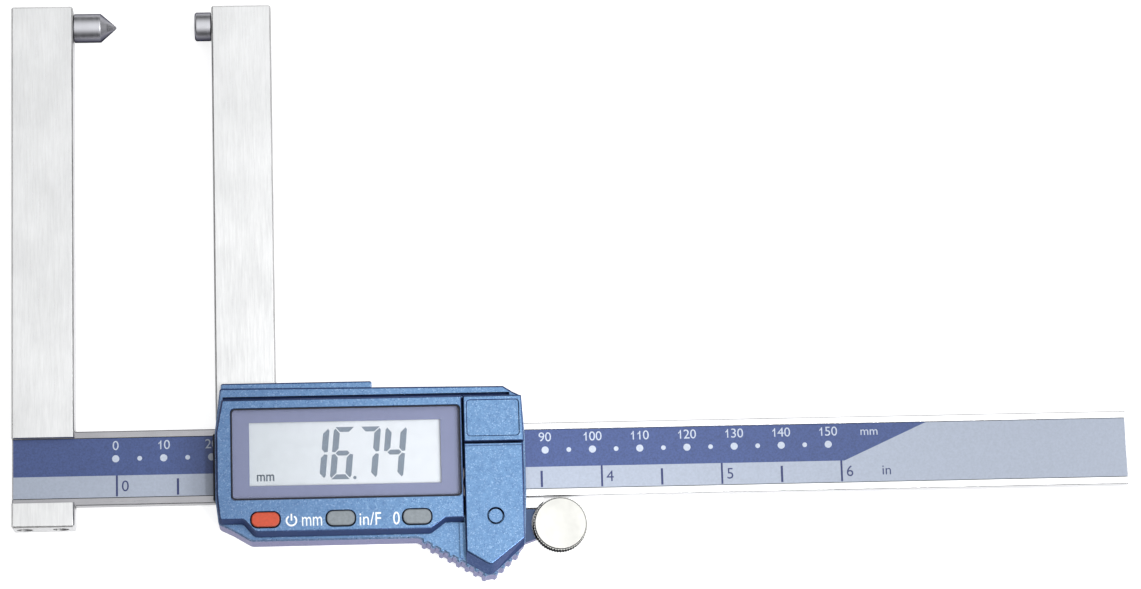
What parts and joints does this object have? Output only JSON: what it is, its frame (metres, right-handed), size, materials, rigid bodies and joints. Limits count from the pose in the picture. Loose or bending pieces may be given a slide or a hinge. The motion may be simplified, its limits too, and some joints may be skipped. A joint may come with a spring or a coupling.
{
  "type": "digital caliper",
  "caption": "Long-arm digital caliper: steel beam with a fixed arm, sliding display unit with a second arm, and facing point and flat anvils.",
  "frame": {"origin": "the beam's centre line at the middle of the fixed arm, on the arm's flat back", "axes": "+X along the beam towards its free end, +Y along the arms towards the anvils, +Z out of the display"},
  "size_m": [0.2355, 0.1251, 0.0143],
  "materials": {
    "arm_steel": "fine vertical grind",
    "beam_steel": "fine grind along the length",
    "pin_steel": "turned and ground",
    "roller_steel": "turned, knurled rim",
    "dark_steel": "blackened",
    "bronze": "satin",
    "housing_plastic": "blue with fine metallic flake",
    "label_print": "printed film",
    "circuit_laminate": "solder mask",
    "window_plastic": "clear",
    "window_border": "printed",
    "display_glass": "satin",
    "red_button": "soft",
    "grey_button": "soft",
    "black_rubber": "matte",
    "black_plastic": "matte",
    "battery_steel": "satin",
    "contact_brass": "gilt"
  },
  "bodies": {
    "beam_assembly": {"beam": "beam_steel", "stator_strip": "circuit_laminate", "scale_label": "label_print", "fixed_arm": "arm_steel", "pointed_anvil": "pin_steel", "arm_set_screw_1": "dark_steel", "arm_set_screw_2": "dark_steel"},
    "slider": {"arm_screw_1": "dark_steel", "arm_screw_2": "dark_steel", "battery": "battery_steel", "battery_contact_minus": "contact_brass", "battery_contact_plus": "contact_brass", "battery_cover": "housing_plastic", "battery_cover_screw": "dark_steel", "case_screw_1": "dark_steel", "case_screw_2": "dark_steel", "case_screw_3": "dark_steel", "case_screw_4": "dark_steel", "circuit_board": "circuit_laminate", "data_socket": "black_plastic", "display_mask": "window_border", "flat_anvil": "pin_steel", "front_cover": "housing_plastic", "gib_screw_1": "dark_steel", "gib_screw_2": "dark_steel", "gib_strip": "bronze", "key_mat": "black_rubber", "lcd_connector": "black_rubber", "lcd_panel": "display_glass", "lower_case": "housing_plastic", "moving_arm": "arm_steel", "processor_blob": "black_plastic", "roller_axle": "pin_steel", "screw_plug": "housing_plastic", "slider_frame": "beam_steel", "window_lens": "window_plastic", "wiper_left": "black_rubber", "wiper_right": "black_rubber"},
    "power_button": {"power_button": "red_button"},
    "unit_button": {"unit_button": "grey_button"},
    "zero_button": {"zero_button": "grey_button"},
    "thumb_roller": {"thumb_roller": "roller_steel"},
    "port_cover": {"port_cover": "housing_plastic"}
  },
  "joints": [
    {"name": "slider_slide", "type": "slide", "parent": "beam_assembly", "child": "slider", "axis": [1, 0, 0], "range_m": [-0.0167, 0.13326]},
    {"name": "roller_turn", "type": "hinge", "parent": "slider", "child": "thumb_roller", "pos_m": [0.1078, -0.014, 0.0021], "axis": [0, 0, 1], "range_deg": [-170, 1342]},
    {"name": "power_button_press", "type": "slide", "parent": "slider", "child": "power_button", "axis": [0, 0, -1], "range_m": [0, 0.0005], "stiffness_N_per_m": 1000, "springref_m": -0.0005},
    {"name": "unit_button_press", "type": "slide", "parent": "slider", "child": "unit_button", "axis": [0, 0, -1], "range_m": [0, 0.0005], "stiffness_N_per_m": 1000, "springref_m": -0.0005},
    {"name": "zero_button_press", "type": "slide", "parent": "slider", "child": "zero_button", "axis": [0, 0, -1], "range_m": [0, 0.0005], "stiffness_N_per_m": 1000, "springref_m": -0.0005},
    {"name": "port_cover_slide", "type": "slide", "parent": "slider", "child": "port_cover", "axis": [1, 0, 0], "range_m": [0, 0.0128]}
  ],
  "couplings": [
    {"joint": "roller_turn", "follows": "slider_slide", "rad_per_m": 175.44}
  ]
}
